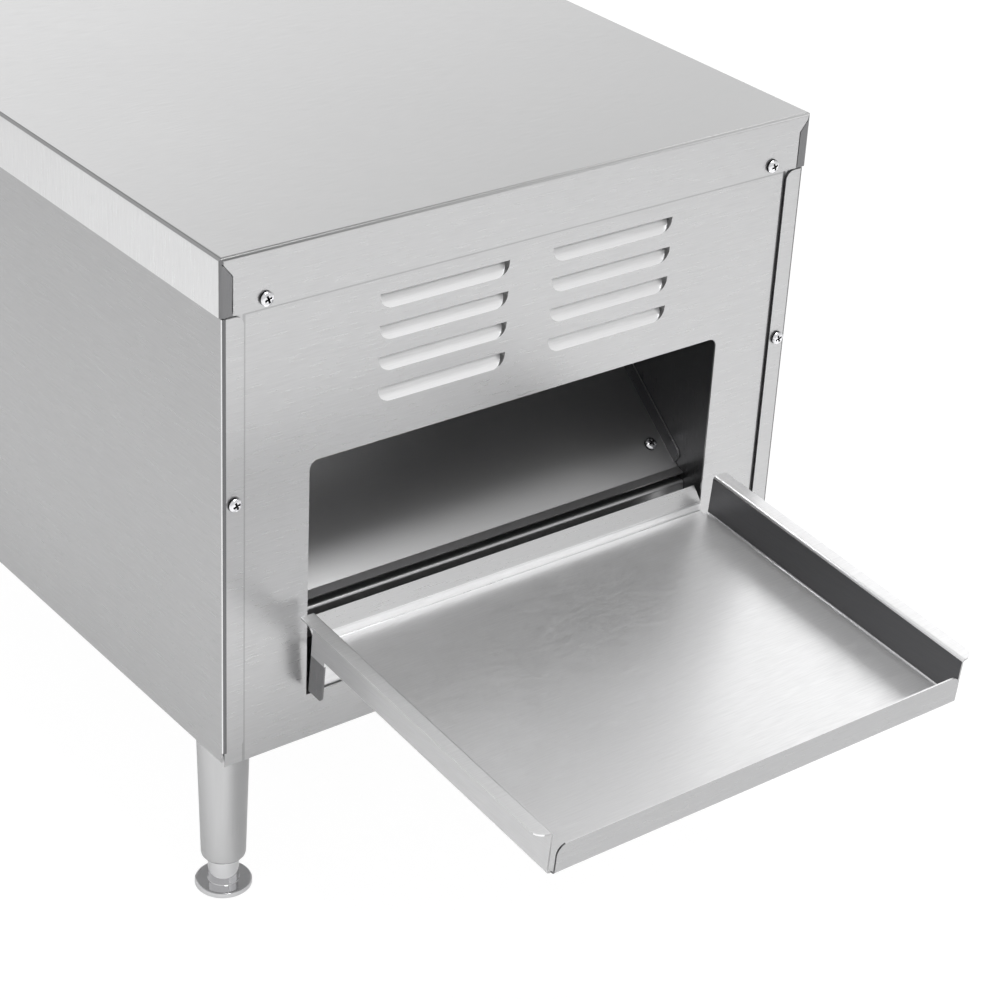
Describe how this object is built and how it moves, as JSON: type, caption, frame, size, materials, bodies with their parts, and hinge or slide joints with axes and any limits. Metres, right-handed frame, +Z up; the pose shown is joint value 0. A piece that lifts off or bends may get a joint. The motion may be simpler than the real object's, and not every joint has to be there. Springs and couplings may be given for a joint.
{
  "type": "conveyor toaster",
  "caption": "Countertop conveyor toaster in brushed stainless sheet, with a mesh belt, quartz heaters, a discharge slide and tray, and adjustable legs.",
  "frame": {"origin": "on the floor plane, under the middle of the whole object's box", "axes": "+Z up; +Y towards the feed end with the controls, -Y towards the discharge tray; +X to the right when looking at the discharge end along +Y"},
  "size_m": [0.3704, 0.8266, 0.3876],
  "materials": {
    "casing_steel": "brushed",
    "inner_steel": "brushed",
    "reflector_steel": "bright",
    "insulation": "matte fibre board",
    "quartz": "clear",
    "heating_wire": "oxidised",
    "ceramic": "matte",
    "belt_steel": "bright drawn wire",
    "shaft_steel": "ground",
    "bush_bronze": "sintered",
    "chain_steel": "oiled",
    "motor_paint": "satin",
    "black_plastic": "matte",
    "rocker_red": "gloss",
    "lamp_amber": "gloss",
    "terminal_white": "matte",
    "wire_chrome": "polished",
    "leg_steel": "satin",
    "foot_chrome": "polished",
    "screw_steel": "bright"
  },
  "bodies": {
    "root": {"top_cover": "casing_steel", "left_side_panel": "casing_steel", "right_side_panel": "casing_steel", "discharge_end_panel": "casing_steel", "feed_end_panel": "casing_steel", "rack_bracket": "casing_steel", "base_pan": "inner_steel", "left_inner_plate": "inner_steel", "right_inner_plate": "inner_steel", "bulkhead": "inner_steel", "toast_slide": "inner_steel", "slide_ledges": "inner_steel", "slide_rail": "inner_steel", "crumb_tray_runners": "inner_steel", "top_reflector": "reflector_steel", "lower_reflector": "reflector_steel", "top_insulation": "insulation", "upper_quartz_tubes": "quartz", "lower_quartz_tubes": "quartz", "heating_wires": "heating_wire", "ceramic_end_caps": "ceramic", "conveyor_belt": "belt_steel", "shaft_bushes": "bush_bronze", "drive_chain": "chain_steel", "gear_motor": "motor_paint", "cooling_fan_frame": "black_plastic", "power_switch_body": "black_plastic", "speed_control": "black_plastic", "top_heat_switch": "black_plastic", "bottom_heat_switch": "black_plastic", "cord_gland": "black_plastic", "pilot_lamps": "lamp_amber", "terminal_block": "terminal_white", "fan_guard": "wire_chrome", "leg_tubes": "leg_steel", "cover_screws": "screw_steel", "slide_screws": "screw_steel"},
    "drive": {"drive_shaft": "shaft_steel", "drive_belt_wheels": "belt_steel", "drive_sprocket": "chain_steel"},
    "idler": {"idler_shaft": "shaft_steel", "idler_belt_wheels": "belt_steel"},
    "motor_output": {"motor_sprocket": "chain_steel"},
    "fan": {"fan_impeller": "black_plastic"},
    "tray": {"discharge_tray": "casing_steel"},
    "crumb_tray": {"crumb_tray": "casing_steel"},
    "rack": {"loading_rack": "wire_chrome"},
    "rocker": {"power_rocker": "rocker_red"},
    "speed_control": {"speed_knob": "black_plastic", "speed_spindle": "shaft_steel"},
    "top_heat_control": {"top_heat_knob": "black_plastic", "top_heat_spindle": "shaft_steel"},
    "bottom_heat_control": {"bottom_heat_knob": "black_plastic", "bottom_heat_spindle": "shaft_steel"},
    "discharge_left_foot": {"discharge_left_foot": "foot_chrome"},
    "discharge_right_foot": {"discharge_right_foot": "foot_chrome"},
    "feed_left_foot": {"feed_left_foot": "foot_chrome"},
    "feed_right_foot": {"feed_right_foot": "foot_chrome"}
  },
  "joints": [
    {"name": "drive_turn", "type": "hinge", "parent": "root", "child": "drive", "pos_m": [0, 0.16321, 0.298], "axis": [1, 0, 0], "continuous": true},
    {"name": "idler_turn", "type": "hinge", "parent": "root", "child": "idler", "pos_m": [0, -0.13367, 0.298], "axis": [1, 0, 0], "continuous": true},
    {"name": "motor_turn", "type": "hinge", "parent": "root", "child": "motor_output", "pos_m": [0, 0.13133, 0.207], "axis": [1, 0, 0], "continuous": true},
    {"name": "fan_spin", "type": "hinge", "parent": "root", "child": "fan", "pos_m": [0.05, 0.02333, 0.114], "axis": [0, 0, 1], "continuous": true},
    {"name": "power_rock", "type": "hinge", "parent": "root", "child": "rocker", "pos_m": [-0.111, 0.20503, 0.194], "axis": [1, 0, 0], "range_deg": [0, 14]},
    {"name": "speed_turn", "type": "hinge", "parent": "root", "child": "speed_control", "pos_m": [-0.037, 0.20803, 0.194], "axis": [0, 1, 0], "range_deg": [-140, 140]},
    {"name": "top_heat_turn", "type": "hinge", "parent": "root", "child": "top_heat_control", "pos_m": [0.037, 0.20803, 0.194], "axis": [0, 1, 0], "range_deg": [0, 270]},
    {"name": "bottom_heat_turn", "type": "hinge", "parent": "root", "child": "bottom_heat_control", "pos_m": [0.111, 0.20803, 0.194], "axis": [0, 1, 0], "range_deg": [0, 270]},
    {"name": "tray_lift", "type": "slide", "parent": "root", "child": "tray", "axis": [0, 0, 1], "range_m": [0, 0.03]},
    {"name": "crumb_tray_pull", "type": "slide", "parent": "root", "child": "crumb_tray", "axis": [0, 1, 0], "range_m": [0, 0.24]},
    {"name": "rack_lift", "type": "slide", "parent": "root", "child": "rack", "axis": [0, 0, 1], "range_m": [0, 0.02]},
    {"name": "discharge_left_foot_screw", "type": "slide", "parent": "root", "child": "discharge_left_foot", "axis": [0, 0, -1], "range_m": [-0.014, 0.02]},
    {"name": "discharge_right_foot_screw", "type": "slide", "parent": "root", "child": "discharge_right_foot", "axis": [0, 0, -1], "range_m": [-0.014, 0.02]},
    {"name": "feed_left_foot_screw", "type": "slide", "parent": "root", "child": "feed_left_foot", "axis": [0, 0, -1], "range_m": [-0.014, 0.02]},
    {"name": "feed_right_foot_screw", "type": "slide", "parent": "root", "child": "feed_right_foot", "axis": [0, 0, -1], "range_m": [-0.014, 0.02]}
  ],
  "couplings": [
    {"joint": "idler_turn", "follows": "drive_turn", "ratio": 1},
    {"joint": "motor_turn", "follows": "drive_turn", "ratio": 1.3636}
  ]
}
